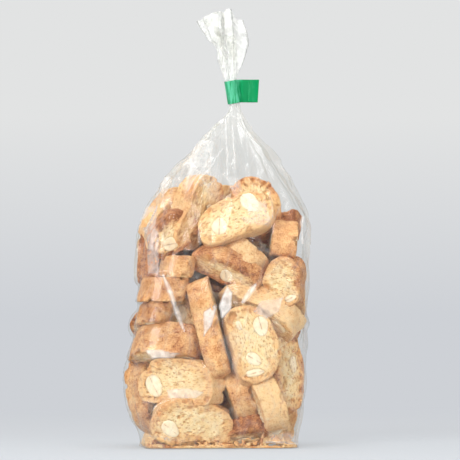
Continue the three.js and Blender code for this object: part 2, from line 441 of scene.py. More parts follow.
def edge_crossings(field, axis):
    """For the grid's edges along one axis: whether the field changes sign, and where."""
    low = field[tuple(slice(None, -1) if k == axis else slice(None) for k in range(3))]
    high = field[tuple(slice(1, None) if k == axis else slice(None) for k in range(3))]
    crossing = (low < 0) != (high < 0)
    span = np.where(crossing, low - high, 1)
    return crossing, np.where(crossing, low / span, 0), low < 0


def surface_net(field, origin, step):
    """The vertices and four-sided faces of the surface where the field is zero."""
    cells = tuple(n - 1 for n in field.shape)
    total = np.zeros(cells + (3,))
    count = np.zeros(cells)
    edges = [edge_crossings(field, axis) for axis in range(3)]
    for axis, (crossing, part, _) in enumerate(edges):
        for shift in np.ndindex(*(1 if k == axis else 2 for k in range(3))):
            window = tuple(slice(None) if k == axis else slice(shift[k], shift[k] + cells[k])
                           for k in range(3))
            hit = crossing[window]
            count += hit
            total += hit[..., None] * np.array(shift)
            total[..., axis] += np.where(hit, part[window], 0)
    used = count > 0
    number = np.full(cells, -1)
    number[used] = np.arange(used.sum())
    vertices = origin + (np.argwhere(used) + total[used] / count[used][:, None]) * step
    faces = []
    for axis, (crossing, _, starts_inside) in enumerate(edges):
        one, two = np.eye(3, dtype=int)[[(axis + 1) % 3, (axis + 2) % 3]]
        inner = tuple(slice(None) if k == axis else slice(1, cells[k]) for k in range(3))
        hit = crossing[inner]
        at = np.argwhere(hit) + one + two
        ring = [at, at - one, at - one - two, at - two]
        quads = np.stack([number[tuple(corner.T)] for corner in ring], axis=1)
        flip = ~starts_inside[inner][hit]
        quads[flip] = quads[flip][:, ::-1]
        faces.append(quads)
    return vertices, np.concatenate(faces)


# The relief of one slice

FINE_STEP = 0.72
COARSE_STEP = 0.95
GRID_MARGIN = 2.2
PORES_PER_FACE = 110
CHIPS = 13
NUT_PROUD = 0.14
NUT_GAP = -0.45
NUT_MARGIN = 0.9
NUT_DEPTH = 1.0


def slice_grid(size, step):
    """A grid of points round a slice, and its first corner."""
    half = np.array(size) / 2 + GRID_MARGIN + np.array([size[2] * 0.12, 0, 0])
    counts = np.ceil(2 * half / step).astype(int) + 1
    return grid_points(*(step * np.arange(n) - h for n, h in zip(counts, half))), -half


def almond_frame(points, almond, thick):
    """The distance outside an almond, and the distance from the split down its middle."""
    u, v, long, wide, lean = almond
    cosine, sine = cosine_sine(lean)
    du, dv = points[..., 0] - u, points[..., 1] - v
    along = du * cosine + dv * sine
    across = dv * cosine - du * sine
    deep = (points[..., 2] - thick / 2) * 0.55
    taper = wide / 2 * (1 - 0.16 * along / (long / 2))
    share = np.sqrt((along / (long / 2)) ** 2 + (across / taper) ** 2 + (deep / 3) ** 2)
    reach = np.sqrt(along ** 2 + across ** 2 + deep ** 2)
    outside = reach * (1 - 1 / np.maximum(share, 1e-3))
    return outside, np.abs(across - 0.06 * along)


def random_almonds(random, size):
    """One to three cut almonds for a slice that the front doesn't name any for."""
    length, height, _ = size
    almonds = []
    for _ in range(random.integers(1, 4)):
        u = random.uniform(-0.33, 0.33) * length
        v = random.uniform(-0.22, 0.2) * height
        if all(math.hypot(u - a[0], v - a[1]) > 10 for a in almonds):
            long = random.uniform(8, 12.5)
            almonds.append((u, v, long, long * random.uniform(0.5, 0.78), random.uniform(0, 180)))
    return tuple(almonds)


def loaf_field(points, item):
    """The loaf's outline, with the lumps that make no two slices alike."""
    u = (points[..., 0] + item.slant * points[..., 2] + 1.4 * value_noise(points, 13, item.seed)
         + 0.5 * value_noise(points, 5.5, item.seed + 8))
    v = (points[..., 1] + 1.2 * value_noise(points, 11, item.seed + 1)
         + 0.5 * value_noise(points, 5, item.seed + 9))
    return loaf_distance(u, v, item.size[0], item.size[1])


def carve(field, points, origin, step, centre, radii):
    """Cuts an ellipsoid out of the field, and works only on the points near it."""
    low = np.maximum(((centre - radii * 1.6 - origin) / step).astype(int), 0)
    high = np.minimum(((centre + radii * 1.6 - origin) / step).astype(int) + 2, field.shape)
    if np.any(high <= low):
        return
    window = tuple(slice(a, b) for a, b in zip(low, high))
    hole = (1 - norm((points[window] - centre) / radii)) * radii.min()
    field[window] = np.maximum(field[window], hole)


def wear_down(field, points, origin, step, size, random):
    """Pores in both cut faces, and chips out of the edges."""
    length, height, thick = size
    for side in (-1, 1):
        for _ in range(PORES_PER_FACE):
            centre = np.array([random.uniform(-0.46, 0.46) * length,
                               random.uniform(-0.42, 0.42) * height, 0])
            centre[2] = side * thick / 2 + random.uniform(-0.4, 0.3)
            wide = random.uniform(0.42, 0.72)
            radii = np.array([wide * random.uniform(1, 2.2), wide, random.uniform(0.5, 1.2)])
            carve(field, points, origin, step, centre, radii)
    for _ in range(CHIPS):
        angle = random.uniform(0, 2 * math.pi)
        centre = np.array([math.cos(angle) * length * 0.5, math.sin(angle) * height * 0.48,
                           random.choice([-1, 1]) * thick / 2])
        carve(field, points, origin, step, centre, random.uniform(0.8, 2.6, 3))


def slice_mesh(item):
    """One slice in its own frame: the mesh of its crumb and crust, and of its almonds."""
    random = np.random.default_rng(item.seed)
    step = FINE_STEP if item.layer == "front" else COARSE_STEP
    points, origin = slice_grid(item.size, step)
    thick = item.size[2]
    crust = (0.42 * value_noise(points, 4.6, item.seed + 2)
             + 0.2 * value_noise(points, 1.9, item.seed + 3))
    crumb = (0.2 * value_noise(points, 3.4, item.seed + 4)
             + 0.17 * value_noise(points, 1.7, item.seed + 5))
    wedge = np.tensordot(points[..., :2], random.uniform(-0.04, 0.04, 2), axes=1)
    cut = np.abs(points[..., 2] + wedge) - thick / 2
    loaf = loaf_field(points, item)
    field = smooth_max(loaf + crust, cut + crumb, 0.3)
    wear_down(field, points, origin, step, item.size, random)
    almonds = [(almond, 1) for almond in item.almonds or random_almonds(random, item.size)]
    almonds += [(almond, -1) for almond in random_almonds(random, item.size)]
    nuts = np.full(field.shape, FAR)
    for almond, side in almonds:
        seen = points * np.array([1, 1, side])
        outside, split = almond_frame(seen, almond, thick)
        groove = 0.13 * (1 - smooth_step(split, 0.1, 0.5))
        nut = smooth_max(outside + 0.06, cut + 0.3 * crumb - NUT_PROUD + groove, 0.5)
        nut = np.maximum(nut, loaf + NUT_DEPTH)
        nuts = np.minimum(nuts, np.where(seen[..., 2] > 0, nut, FAR))
        hole = np.where((seen[..., 2] > 0) & (loaf < -NUT_DEPTH), NUT_GAP - outside, -FAR)
        field = np.maximum(field, hole)
    body = surface_net(field, origin, step)
    kernels = surface_net(nuts, origin, step)
    return ((*body, slice_values(body[0], item, almonds)),
            (*kernels, kernel_values(kernels[0], item, almonds)))


def slice_values(vertices, item, almonds):
    """What the crumb and crust need at each vertex: how deep it lies under the crust, how
    deep under the whole slice's skin (for the painted shade in pores and chips), how much it is
    baked (on slices deep in the gaps also a painted shade), and where it is."""
    loaf = loaf_field(vertices, item)
    cut = np.abs(vertices[:, 2]) - item.size[2] / 2
    by_nut = kernel_values(vertices, item, almonds)["rim"] > -NUT_MARGIN
    return {
        "inset": -loaf,
        "sunk": np.where(by_nut, 0, -np.maximum(loaf, cut)),
        "bake": np.full(len(vertices), item.bake),
        "spot": spread_out(vertices, item.seed),
    }


def kernel_values(vertices, item, almonds):
    """How far each vertex of an almond lies from its rim and from its split."""
    rim = np.full(len(vertices), FAR)
    split = np.full(len(vertices), FAR)
    for almond, side in almonds:
        seen = vertices * np.array([1, 1, side])
        outside, middle = almond_frame(seen, almond, item.size[2])
        outside = np.where(seen[:, 2] > 0, outside, FAR)
        split = np.where(outside < rim, middle, split)
        rim = np.minimum(rim, outside)
    return {"rim": -rim, "split": split, "spot": spread_out(vertices, item.seed)}


def spread_out(vertices, seed):
    """Places that differ from slice to slice, so that no two share a pattern."""
    return vertices + 37.0 * seed * np.array([1, 0.6, 0.3])


# Making objects

def make_object(name, vertices, faces, values=None):
    """A smooth-shaded object from vertices in millimetres, with its surface values."""
    mesh = bpy.data.meshes.new(name)
    faces = np.asarray(faces)
    mesh.vertices.add(len(vertices))
    mesh.vertices.foreach_set("co", (np.asarray(vertices) * MM).ravel())
    mesh.loops.add(faces.size)
    mesh.loops.foreach_set("vertex_index", faces.ravel())
    mesh.polygons.add(len(faces))
    mesh.polygons.foreach_set("loop_start", np.arange(len(faces)) * faces.shape[1])
    mesh.update(calc_edges=True)
    mesh.shade_smooth()
    for key, value in (values or {}).items():
        flat = value.ndim == 1
        attribute = mesh.attributes.new(key, "FLOAT" if flat else "FLOAT_VECTOR", "POINT")
        attribute.data.foreach_set("value" if flat else "vector", value.astype(np.float32).ravel())
    item = bpy.data.objects.new(name, mesh)
    bpy.context.scene.collection.objects.link(item)
    return item


def grid_faces(rows, columns):
    """The four-sided faces of a grid of vertices that closes round its columns."""
    grid = grid_points(np.arange(rows - 1), np.arange(columns))
    row, column = grid[..., 0], grid[..., 1]
    after = (column + 1) % columns
    corners = [row * columns + column, row * columns + after,
               (row + 1) * columns + after, (row + 1) * columns + column]
    return np.stack(corners, axis=-1).reshape(-1, 4)


def join_parts(parts):
    """One mesh from several: vertices, faces and values."""
    offsets = np.cumsum([0] + [len(part[0]) for part in parts])
    vertices = np.concatenate([part[0] for part in parts])
    faces = np.concatenate([part[1] + offset for part, offset in zip(parts, offsets)])
    values = {key: np.concatenate([part[2][key] for part in parts]) for key in parts[0][2]}
    return vertices, faces, values


PIECE_TRIANGLES = 180000


def make_biscuits(places, turns):
    """All slices, joined into a few pieces that stay small enough to handle, and all
    almonds in one piece."""
    batches, kernels, triangles = [[]], [], 0
    for item, place, turn in zip(SLICES, places, turns):
        body, nuts = slice_mesh(item)
        if triangles + 2 * len(body[1]) > PIECE_TRIANGLES:
            batches.append([])
            triangles = 0
        batches[-1].append((body[0] @ turn.T + place, *body[1:]))
        kernels.append((nuts[0] @ turn.T + place, *nuts[1:]))
        triangles += 2 * len(body[1])
    slices = [make_object("biscuits_%d" % (number + 1), *join_parts(batch))
              for number, batch in enumerate(batches)]
    return slices, make_object("almonds", *join_parts(kernels))


# Crumbs and flakes at the bottom of the bag

CRUMB_COUNT = 110
FLAKE_COUNT = 44
BED_HEIGHT = 2.2
BED_STEP = 0.6
BALL_RINGS = 7
BALL_SIDES = 10


def rough_ball(random, size, seed):
    """A crumb's closed mesh: a ball of the given size with a broken skin."""
    rings = np.linspace(0, np.pi, BALL_RINGS)[1:-1]
    grid = grid_points(rings, np.arange(BALL_SIDES) * 2 * np.pi / BALL_SIDES)
    ring, side = grid[..., 0], grid[..., 1]
    ball = np.stack([np.sin(ring) * np.cos(side), np.sin(ring) * np.sin(side), np.cos(ring)],
                    axis=-1).reshape(-1, 3)
    ball = np.concatenate([ball, [(0, 0, 1), (0, 0, -1)]])
    skin = 1 + 0.6 * value_noise(ball * 2 + seed * 3.1, 1.5, 77)
    faces = [grid_faces(len(rings), BALL_SIDES)[:, [0, 3, 2, 1]]]
    top, bottom, last = len(ball) - 2, len(ball) - 1, (len(rings) - 1) * BALL_SIDES
    for k in range(0, BALL_SIDES, 2):
        one, two = (k + 1) % BALL_SIDES, (k + 2) % BALL_SIDES
        faces.append([(top, k, one, two), (bottom, last + two, last + one, last + k)])
    turn = small_turn(random.uniform(-1.5, 1.5, 3))
    return (ball * skin[:, None] * np.array(size) / 2) @ turn.T, np.concatenate(faces)


def crumb_bed():
    """The bed of fine crumbs that lies along the foot of the film, all round."""
    points = grid_points(np.arange(-44, 46, BED_STEP), np.arange(-31, 32, BED_STEP),
                         np.arange(0.1, BED_HEIGHT + 2, BED_STEP))
    flat = points * np.array([1, 1, 0.4])
    lumps = value_noise(flat, 5, 91) + 0.9 * value_noise(points, 1.7, 92)
    angle = np.arctan2(points[..., 1], points[..., 0])
    wall = bag_reach(angle, np.full(angle.shape, 3.0)) - 1.2
    away = np.hypot(points[..., 0], points[..., 1]) - wall
    bank = BED_HEIGHT * smooth_step(away, -9, -1)
    field = np.maximum(points[..., 2] - bank - 0.9 * lumps, away + 0.5 * lumps)
    field = np.maximum(field, 0.45 - points[..., 2])
    vertices, faces = surface_net(field, points[0, 0, 0], BED_STEP)
    return vertices, faces, crumb_values(vertices, 1.2 + 2.4 * value_noise(vertices, 3, 93),
                                         0.4 + 0.3 * value_noise(vertices, 6, 94), 0)


def crumb_values(vertices, inset, bake, seed):
    """What the biscuit's material needs at each vertex of a crumb."""
    zeros = np.zeros(len(vertices))
    return {"inset": zeros + inset, "sunk": zeros, "bake": zeros + bake,
            "spot": spread_out(vertices, seed)}


def make_crumbs():
    random = np.random.default_rng(7)
    parts = [crumb_bed()]
    for number in range(CRUMB_COUNT + FLAKE_COUNT):
        angle = random.uniform(0, 2 * math.pi)
        if number % 2:
            angle = random.uniform(-0.85, -0.15) * math.pi
        if number < CRUMB_COUNT:
            size = random.uniform(0.7, 3.2) * random.uniform(0.5, 1.3, 3)
            inset = random.uniform(1.0, 6.0)
        else:
            size = (random.uniform(4, 9), random.uniform(2.5, 5), random.uniform(0.8, 1.6))
            inset = random.uniform(4.5, 9.0)
        z = max(size) * 0.3 + random.uniform(0.3, 2.2)
        reach = float(bag_reach(np.array(angle), np.array(z))) - inset
        vertices, faces = rough_ball(random, size, number)
        vertices += (float(bag_axis(z)) + math.cos(angle) * reach, math.sin(angle) * reach, z)
        vertices[:, 2] = np.maximum(vertices[:, 2], 0.5)
        parts.append((vertices, faces, crumb_values(
            vertices, random.uniform(-0.5, 3.5), random.uniform(0.2, 0.8), number)))
    return make_object("crumbs", *join_parts(parts))


# The film round the contents

FILM_COLUMNS = 396
FILM_ROW = 0.85
FILM_BOTTOM = 0.25
BASE_ROWS = 14
FILM_SAG = 1.4
FILM_TOUCH = 0.8
CRUMPLE_SPACING = 0.5
CRUMPLE_PICKS = 4000
CRUMPLE_BATCH = 20000


def crumple(points, cell, stretch, seed):
    """A crumpled skin's relief, made of flat facets about a cell across and drawn out
    upwards, from about -1 to 1. Also how far each point is from a crease, and a number
    from 0 to 1 that is the same all over a facet."""
    random = np.random.default_rng(seed)
    scaled = points / np.array([cell, cell, cell * stretch])
    relief = np.zeros(len(points))
    crease = np.full(len(points), FAR)
    facet = np.zeros(len(points))
    for sign in (1, -1):
        picks = scaled[random.permutation(len(scaled))]
        seeds = []
        for pick in picks[:CRUMPLE_PICKS]:
            if all(np.sum((pick - other) ** 2) > CRUMPLE_SPACING for other in seeds):
                seeds.append(pick)
        seeds = np.array(seeds)
        shades = random.uniform(0, 1, len(seeds))
        for start in range(0, len(points), CRUMPLE_BATCH):
            part = slice(start, start + CRUMPLE_BATCH)
            squares = ((scaled[part, None] - seeds) ** 2).sum(axis=-1)
            nearest = squares.argmin(axis=1)
            two = np.partition(squares, 1, axis=1)[:, :2]
            relief[part] += sign * two[:, 0] * 2
            crease[part] = np.minimum(crease[part], (two[:, 1] - two[:, 0]) * cell / 2)
            facet[part] += shades[nearest] / 2
    return relief, crease, facet


@dataclass
class Mark:
    """A streak (two corners) or a patch (more, going round clockwise) of film painted milky
    white as a painted highlight, where it reflects the light in the front view. Corners are
    millimetres right of the view's middle and millimetres up."""
    corners: tuple
    haze_and_glare: float
    width: float = 1.2
    lift: float = 0.5


# Painted highlights and reflections: each mark paints the film milky white where it shows a glint
# of the lights in the front view
MARKS = [
    # The left side
    Mark(((-36.2, 92), (-25, 61.6)), 0.7, width=1.8),
    Mark(((-34.6, 144.7), (-37.3, 94.1)), 0.2, width=0.9),
    Mark(((-48.5, 53.6), (-37.3, 51.5), (-25.1, 50.6), (-30.9, 47), (-42.6, 46.6)), 0.5),
    Mark(((-35.2, 30.5), (-24, 31.5), (-13.5, 29), (-18, 25.5), (-33, 25.5)), 0.4),
    Mark(((-45.8, 128.8), (-39, 128.8), (-38.4, 91.5), (-45.3, 91.5)), 0.3),
    Mark(((-37.3, 144.5), (-32, 144.5), (-34, 134.2), (-38, 136)), 0.15),
    # The middle
    Mark(((-14.3, 71.8), (-7.5, 76), (-7, 73.8), (-9.6, 64.8), (-14.3, 58)), 0.65),
    Mark(((-4.2, 80), (-1.2, 86), (1.6, 82), (1, 74), (-4.2, 67.5), (-6, 75)), 0.75),
    Mark(((7, 76.6), (14.3, 86.2)), 0.7, width=2.2),
    Mark(((12.3, 71.8), (17, 78), (29.8, 79.8), (27.7, 71.8), (20.2, 67.5)), 0.35),
    Mark(((-3.5, 145), (5.3, 143), (6.3, 137), (3, 131.5)), 0.22),
    Mark(((8, 133), (17.5, 130.5), (21.8, 118.5), (9, 123)), 0.3),
    Mark(((5.3, 122.5), (17, 123.5), (21.8, 117.5), (8, 118.5)), 0.25),
    Mark(((21.8, 117.5), (8, 128.7)), 0.3, width=0.7),
    Mark(((21.8, 117.5), (17, 131.4)), 0.3, width=0.7),
    Mark(((21.8, 117.5), (21.3, 136.7)), 0.3, width=0.7),
    Mark(((21.8, 117.5), (13.3, 119.7)), 0.3, width=0.7),
    Mark(((21.8, 117.5), (29.3, 131.4)), 0.25, width=0.7),
    # The right side
    Mark(((39.5, 123), (39.5, 107.5)), 0.6, width=1.3),
    Mark(((42.6, 137), (43.6, 60)), 0.22, width=1),
    Mark(((39, 140), (43, 108)), 0.15, width=0.8),
    # The shoulders
    Mark(((-5.9, 174.6), (-3.7, 174.6), (-3.7, 172.4), (-5.9, 172.4)), 0.6),
    Mark(((-21.3, 163.4), (-8, 163.4), (-8, 152.7), (-21.3, 152.7)), 0.25),
    Mark(((-22.9, 155.4), (-11.7, 155.4), (-11.7, 148.5), (-22.9, 148.5)), 0.3),
    Mark(((-2.1, 176.7), (-1.1, 142)), 0.4, width=1.1),
    Mark(((1, 172), (3, 146)), 0.3, width=0.9),
    Mark(((8, 168.7), (18.7, 144.7)), 0.22, width=1),
    Mark(((21.8, 152.2), (25.6, 152.7), (33, 143.1), (29.8, 142.1)), 0.2),
    Mark(((-3.2, 160), (-17, 139)), 0.3, width=0.9),
    Mark(((-10.6, 165), (-26.6, 147)), 0.3, width=0.9),
    # The fold along the bottom
    Mark(((21.3, 7.2), (36, 7.2), (36, 2.8), (21.3, 2.8)), 0.22),
    Mark(((18.1, 2.6), (36, 1.6)), 0.5, width=1),
    Mark(((-46, 6), (-24, 3)), 0.2, width=1.4),
]


def seen_from_front(points):
    """Where points show in the front view, in millimetres on its middle plane."""
    turn = math.radians(VIEW_TURN)
    right = np.array([math.cos(turn), math.sin(turn), 0])
    away = np.array([-math.sin(turn), math.cos(turn), 0])
    offset = points - np.array(VIEW_AIM)
    scale = VIEW_DISTANCE / (VIEW_DISTANCE + offset @ away)
    return np.stack([offset @ right * scale, VIEW_AIM[2] + offset[..., 2] * scale], axis=-1)


def mark_strength(mark, seen):
    """From 0 away from a mark to 1 in its middle."""
    corners = np.array(mark.corners, float)
    if len(corners) == 2:
        along = corners[1] - corners[0]
        share = np.clip((seen - corners[0]) @ along / (along @ along), 0, 1)
        away = norm(seen - corners[0] - share[..., None] * along)
        taper = np.minimum(1, 0.35 + 3 * np.minimum(share, 1 - share))
        return np.clip(1 - away / (mark.width * taper), 0, 1)
    inside = np.full(seen.shape[:-1], FAR)
    for start, end in zip(corners, np.roll(corners, -1, axis=0)):
        along = (end - start) / np.linalg.norm(end - start)
        inward = np.array([along[1], -along[0]])
        inside = np.minimum(inside, (seen - start) @ inward)
    return smooth_step(inside, -0.2, 0.8)


CLEARANCE_LIMIT = 6.0


def slice_clearance(points, places, turns):
    """How far points are from the nearest slice, up to a limit."""
    clearance = np.full(len(points), CLEARANCE_LIMIT)
    for item, place, turn in zip(SLICES, places, turns):
        offset = points - place
        near = norm(offset) < norm(item.size) / 2 + CLEARANCE_LIMIT
        local = offset[near] @ turn
        size = np.broadcast_to(np.array(item.size, float), local.shape)
        clearance[near] = np.minimum(clearance[near], plain_distance(local, size, item.slant))
    return clearance


def even_angles(z, count):
    """Angles that share out the bag's girth evenly at a height."""
    fine = np.linspace(0, 2 * np.pi, 3000)
    reach = bag_reach(fine, np.full(fine.shape, float(z)))
    ring = np.stack([reach * np.cos(fine), reach * np.sin(fine)], axis=-1)
    lengths = np.concatenate([[0], np.cumsum(norm(np.diff(ring, axis=0)))])
    return np.interp(np.arange(count) / count * lengths[-1], lengths, fine)


EVEN_HEIGHT = 60
BROAD_FOLDS = {"cell": 17, "stretch": 1.5, "seed": 1}
SMALL_FOLDS = {"cell": 8, "stretch": 1.2, "seed": 2}
SHOULDER_PLEATS = {"cell": 7.5, "stretch": 6, "seed": 3}
PLEAT_LIMIT = 1.7
PLEAT_SHARE = 0.14
CREASE_WIDTH = 0.4
CLEAR_HAZE = 0.012
BASE_HAZE = 0.05
SHRINK_ROUNDS = 3


def film_rays():
    """For each vertex of the film's wall: the point of the bag's axis at its height, the
    way it lies from there, and how far."""
    heights = np.arange(FILM_BOTTOM, NECK_Z + TAPE_WIDTH * 0.8, FILM_ROW)
    angle, z = np.meshgrid(even_angles(EVEN_HEIGHT, FILM_COLUMNS), heights)
    zeros = np.zeros(z.shape)
    heading = np.stack([np.cos(angle), np.sin(angle), zeros], axis=-1).reshape(-1, 3)
    middle = np.stack([bag_axis(z), zeros, z], axis=-1).reshape(-1, 3)
    return middle, heading, bag_reach(angle, z).ravel()


def draw_in(middle, heading, reach, places, turns):
    """Draws the body of the film in to the slices, and out where they would cross it."""
    z = middle[:, 2]
    free = (1 - smooth_step(z, SHOULDER_Z, SHOULDER_Z + 35)) * smooth_step(z, 0, 12)
    for _ in range(SHRINK_ROUNDS):
        points = middle + heading * reach[:, None]
        gap = slice_clearance(points, places, turns) - FILM_TOUCH
        reach = reach + np.where(gap < 0, -gap, -np.clip(gap, 0, FILM_SAG) * 0.3 * free)
    return middle + heading * reach[:, None]


def film_base(ring):
    """The film's flat bottom, from near its middle out to the lowest ring of the wall."""
    share = np.linspace(0.02, 1, BASE_ROWS, endpoint=False)[:, None, None]
    centre = np.array([float(bag_axis(0)), 0, FILM_BOTTOM])
    return (centre + (ring - centre) * share).reshape(-1, 3)


def make_film(places, turns):
    """The bag's own form with a crumpled relief, drawn in to the slices. It is milky towards
    the neck, and painted milky white along its creases, on some facets and at the marks as
    painted highlights and reflections, more on the left shoulder, where the key light's glints
    fall."""
    middle, heading, reach = film_rays()
    points = middle + heading * reach[:, None]
    z = middle[:, 2]
    shoulder = smooth_step(z, SHOULDER_Z - 6, SHOULDER_Z + 22)
    neck = smooth_step(z, NECK_Z - 30, NECK_Z - 4)
    broad, broad_crease, broad_facet = crumple(points, **BROAD_FOLDS)
    small, small_crease, _ = crumple(points, **SMALL_FOLDS)
    pleats, pleat_crease, pleat_facet = crumple(points, **SHOULDER_PLEATS)
    relief = (0.9 * broad + 0.3 * small) * (1 - shoulder) * smooth_step(z, 0, 12)
    pleat_height = np.minimum(PLEAT_LIMIT, reach * PLEAT_SHARE) * shoulder
    relief += (pleats + 0.15 * small) * pleat_height

    seen = seen_from_front(points)
    haze_and_glare = np.full(len(points), CLEAR_HAZE)
    # Painted highlights and reflections at the marks
    for mark in MARKS:
        strength = mark_strength(mark, seen) * (heading[:, 1] < 0.1)
        haze_and_glare = np.maximum(haze_and_glare, mark.haze_and_glare * strength)
        if len(mark.corners) == 2:
            relief += mark.lift * strength
    # Painted highlights: white along the creases and on some facets, and on the shoulders most on
    # the left, where the key light's glints fall. Towards the neck the film's own milk.
    left = 1 - smooth_step(seen[:, 0], -22, 8)
    above = smooth_step(z, 122, 142)
    haze_and_glare += 0.10 * thin_line(broad_crease, CREASE_WIDTH) * (1 - shoulder)
    haze_and_glare += 0.05 * thin_line(small_crease, CREASE_WIDTH) * (1 - shoulder)
    haze_and_glare += (0.05 + 0.16 * left + 0.1 * neck) * thin_line(pleat_crease, CREASE_WIDTH) * above
    haze_and_glare += (0.02 + 0.28 * left) * smooth_step(pleat_facet, 0.5, 0.8) * above
    haze_and_glare += 0.1 * smooth_step(broad_facet, 0.76, 0.8) * (1 - shoulder)
    haze_and_glare += 0.14 * neck

    wall = draw_in(middle, heading, reach + relief, places, turns)
    base = film_base(wall[:FILM_COLUMNS])
    points = np.concatenate([base, wall])
    haze_and_glare = np.concatenate([np.full(len(base), BASE_HAZE), haze_and_glare])
    faces = grid_faces(len(points) // FILM_COLUMNS, FILM_COLUMNS)
    return make_object("film", points, faces, {"haze_and_glare": haze_and_glare, "spot": points})


# The crown of film above the tape

# Painted highlights on the crown's folds and facets, as seen in the front view
CROWN_MARKS = [
    Mark(((-16, 227.3), (-8, 222), (-9.1, 218.8), (-14.4, 221)), 0.9),
    Mark(((-9.6, 231.1), (-4.8, 231.6), (-4.3, 222), (-8.5, 224.1)), 0.8),
    Mark(((-2.1, 232.7), (0.5, 232.7), (2.1, 227.3), (-1.1, 226.3)), 0.9),
    Mark(((3.2, 227.3), (6.9, 227.3), (9.6, 220.4), (4.3, 220.4)), 0.8),
    Mark(((5.3, 219), (10.1, 218.8), (9.1, 211.4), (5.9, 211.4)), 0.45),
    Mark(((-3.7, 208.7), (-1.6, 195.4)), 0.9, width=1),
    Mark(((-1.1, 208.7), (0.5, 195.4)), 0.8, width=0.9),
    Mark(((-3.7, 214), (0, 208.7)), 0.9, width=0.8),
    Mark(((4.8, 211), (3.7, 197)), 0.5, width=0.8),
]
CROWN_START = NECK_Z + TAPE_WIDTH * 0.15
CROWN_HEIGHTS = (190, 197, 205, 210.3, 214, 216.7, 221.5, 226.3, 234)
CROWN_LEFT = (4.8, 2.6, -0.2, -0.8, -2.2, -5.7, -9.0, -12.4, -12.7)
CROWN_RIGHT = (10.2, 9.5, 13.2, 15, 16, 16, 15.5, 13.4, 13.4)
CROWN_DEPTH = (2.7, 2.8, 3.4, 4.0, 4.6, 5.0, 5.4, 5.8, 6.0)
CROWN_EDGE_X = (-12.7, -10, -2.1, 1.1, 2.7, 3.8, 6.5, 9.1, 12.9, 16)
CROWN_EDGE_Z = (226.3, 227.3, 231.6, 232.1, 230.3, 232.9, 232.9, 227.3, 227.3, 220.4)
CROWN_ROWS = 64
CROWN_FOLDS = {"cell": 8.5, "stretch": 1.5, "seed": 21}
CROWN_CREASES = {"cell": 3.2, "stretch": 2.2, "seed": 22}
CROWN_MIDDLE_TOP = 228.0
VALLEY_LOW, VALLEY_HIGH = 2.4, 1.5
PETAL_STEPS = 16


# The folds of the crown: the way each points, its share of the reach there, how wide it
# opens and how much it curls, in degrees
PETALS = [
    (3, 1.0, 9, -10), (38, 0.85, 9, 25), (78, 1.0, 12, -22), (112, 0.85, 12, 22),
    (148, 0.8, 9, 14), (176, 1.0, 8, 7), (203, 0.82, 10, -10), (238, 0.95, 12, 24),
    (268, 0.7, 12, -18), (298, 1.0, 12, 20), (330, 0.9, 10, -12),
]


def crown_ring(z, rise):
    """Points round the crown at the heights z, with rise from 0 at the tape to 1 at the
    edge. Both have a value for each column."""
    left = np.interp(z, CROWN_HEIGHTS, CROWN_LEFT)
    right = np.interp(z, CROWN_HEIGHTS, CROWN_RIGHT)
    depth = np.interp(z, CROWN_HEIGHTS, CROWN_DEPTH)
    middle = bag_axis(z)
    x, y = np.zeros(len(z)), np.zeros(len(z))
    headings = [petal[0] for petal in PETALS]
    headings = [headings[-1] - 360, *headings, headings[0] + 360]
    for column in range(len(z)):
        number, k = divmod(column, PETAL_STEPS)
        heading, petal_reach, spread, curl = PETALS[number]
        share = 1 - abs(2 * k / PETAL_STEPS - 1)
        side = 1 if 2 * k > PETAL_STEPS else -1
        valley = (heading + headings[number + 1 + side]) / 2
        folded = rise[column] ** 0.7
        opened = heading + side * spread * (1 - share) * 0.6
        angle = valley * (1 - share ** 0.5) + opened * share ** 0.5
        angle += curl * share ** 2 * folded
        cosine, sine = cosine_sine(angle)
        wide = (right if cosine > 0 else left)[column] - middle[column]
        outer = 1 / math.sqrt((cosine / wide) ** 2 + (sine / depth[column]) ** 2)
        inner = VALLEY_LOW + (VALLEY_HIGH - VALLEY_LOW) * folded
        tip = outer * (petal_reach * folded + 1 - folded)
        radius = inner + (tip - inner) * share
        x[column] = middle[column] + radius * cosine
        y[column] = radius * sine
    return x, y


def make_crown():
    """The gathered film above the tape, open at its top, with a ragged edge. Its facets, folds and
    creases carry painted light and shade.
    """
    columns = len(PETALS) * PETAL_STEPS
    top = np.full(columns, CROWN_MIDDLE_TOP)
    ones = np.ones(columns)
    for _ in range(2):
        x, _ = crown_ring(top, ones)
        top = np.interp(x, CROWN_EDGE_X, CROWN_EDGE_Z)
    ragged = value_noise(np.stack([np.arange(columns) * 0.6, ones, ones], axis=-1), 2.0, 55)
    top = top + 0.5 * ragged
    rows = []
    for rise in np.linspace(0, 1, CROWN_ROWS):
        z = CROWN_START + (top - CROWN_START) * rise
        x, y = crown_ring(z, np.full(columns, rise))
        rows.append(np.stack([x, y, z], axis=-1))
    points = np.array(rows).reshape(-1, 3)
    rise = np.repeat(np.linspace(0, 1, CROWN_ROWS), columns)
    relief, crease, facet = crumple(points, **CROWN_FOLDS)
    fine, fine_crease, _ = crumple(points, **CROWN_CREASES)
    free = smooth_step(rise, 0.2, 0.6)
    shift = (1.7 * relief + 0.25 * fine) * free
    points = points + shift[:, None] * np.array([0.35, 1.0, 0.15])
    # Milky where the film gathers, most near the tape. Painted light and shade on the facets: some
    # are painted whiter, as if they faced the light.
    haze_and_glare = 0.14 + 0.4 * smooth_step(facet, 0.45, 0.75) + 0.1 * (1 - rise)
    seen = seen_from_front(points)
    for mark in CROWN_MARKS:
        haze_and_glare = np.maximum(haze_and_glare, mark.haze_and_glare * mark_strength(mark, seen) * (points[:, 1] < 1))
    # Painted highlights along the creases
    haze_and_glare += 0.2 * thin_line(crease, 0.35) + 0.12 * thin_line(fine_crease, 0.3)
    return make_object("crown", points, grid_faces(CROWN_ROWS, columns),
                       {"haze_and_glare": haze_and_glare, "spot": points})


# The tape round the neck, with its two ends stuck together as a flag

